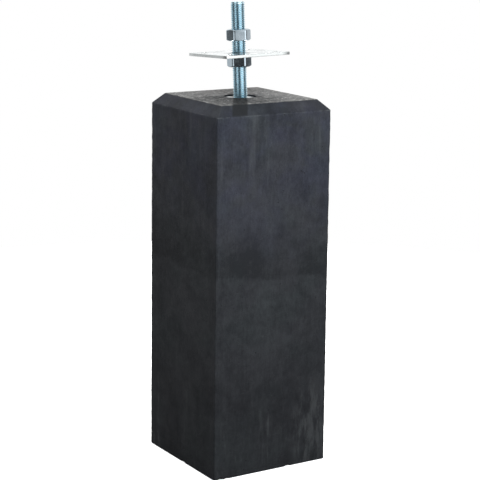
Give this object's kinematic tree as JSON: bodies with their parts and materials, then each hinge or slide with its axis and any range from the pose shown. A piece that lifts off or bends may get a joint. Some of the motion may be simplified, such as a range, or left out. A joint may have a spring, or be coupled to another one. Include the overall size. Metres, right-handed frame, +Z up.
{
  "type": "column base block",
  "caption": "Square precast concrete foot with a chamfered head, and a threaded rod whose nuts set the height of a square support plate under a post.",
  "frame": {"origin": "centre of the block's underside, on the ground", "axes": "+Z up, the rod leaning 3 degrees from it; X and Y square to the block's sides"},
  "size_m": [0.182, 0.182, 0.6423],
  "materials": {
    "concrete": "cast anthracite concrete, fair faces from the mould, rough struck top",
    "rod_zinc": "rolled thread, blue-white zinc plating",
    "nut_zinc": "zinc plating, slightly dulled",
    "plate_zinc": "bright zinc plating on sheared steel plate"
  },
  "bodies": {
    "base": {"block": "concrete", "threaded_rod": "rod_zinc"},
    "plate": {"support_plate": "plate_zinc"},
    "lower_nut": {"lower_nut": "nut_zinc"},
    "lock_nut": {"lock_nut": "nut_zinc"}
  },
  "joints": [
    {"name": "plate_height", "type": "slide", "parent": "base", "child": "plate", "axis": [-0.0485, -0.0196, 0.9986], "range_m": [-0.0375, 0.035]},
    {"name": "lower_nut_turn", "type": "hinge", "parent": "plate", "child": "lower_nut", "pos_m": [-0.00232, -0.00094, 0.56168], "axis": [-0.0485, -0.0196, 0.9986], "range_deg": [-5580, 5220]},
    {"name": "lock_nut_turn", "type": "hinge", "parent": "plate", "child": "lock_nut", "pos_m": [-0.00404, -0.00163, 0.59714], "axis": [-0.0485, -0.0196, 0.9986], "range_deg": [-5580, 5220]}
  ],
  "couplings": [
    {"joint": "lower_nut_turn", "follows": "plate_height", "rad_per_m": 2513.3},
    {"joint": "lock_nut_turn", "follows": "plate_height", "rad_per_m": 2513.3}
  ]
}
